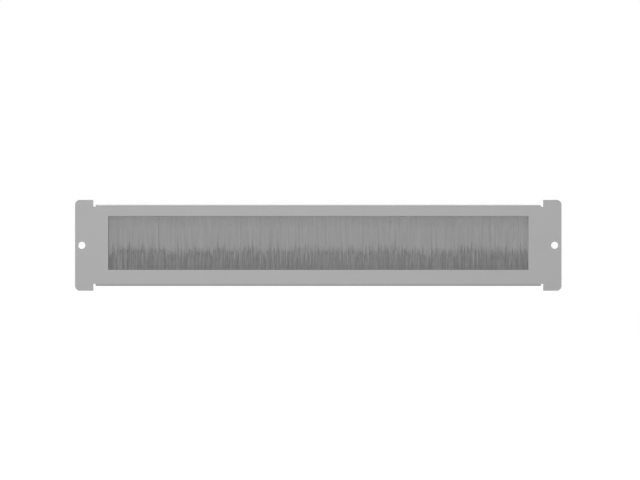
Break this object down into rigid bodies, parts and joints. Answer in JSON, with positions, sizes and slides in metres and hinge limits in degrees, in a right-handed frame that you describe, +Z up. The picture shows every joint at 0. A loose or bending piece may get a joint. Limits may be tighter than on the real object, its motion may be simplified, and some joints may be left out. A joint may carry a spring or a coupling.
{
  "type": "brush cable grommet",
  "caption": "Folded steel cover with screw lugs and a long window closed by two facing rows of bristles, which lets cables through a cabinet panel.",
  "frame": {"origin": "midway between the two screw holes, on the back face of the cover's sheet, which seats on the cabinet panel", "axes": "+X along the cover, +Y back into the cabinet, +Z up as in the picture; the visible front faces -Y"},
  "size_m": [0.38, 0.0078, 0.071],
  "materials": {
    "powder_coat": "fine textured powder coat, light grey",
    "strip_steel": "galvanised sheet, dull",
    "wire_steel": "drawn wire",
    "upper_fibre": "grey nylon filament, semi-matt",
    "lower_fibre": "grey nylon filament, semi-matt, a shade darker"
  },
  "bodies": {
    "root": {"face_plate": "powder_coat", "upper_strip_channel": "strip_steel", "upper_core_wire": "wire_steel", "upper_bristles": "upper_fibre", "lower_strip_channel": "strip_steel", "lower_core_wire": "wire_steel", "lower_bristles": "lower_fibre"}
  },
  "joints": []
}
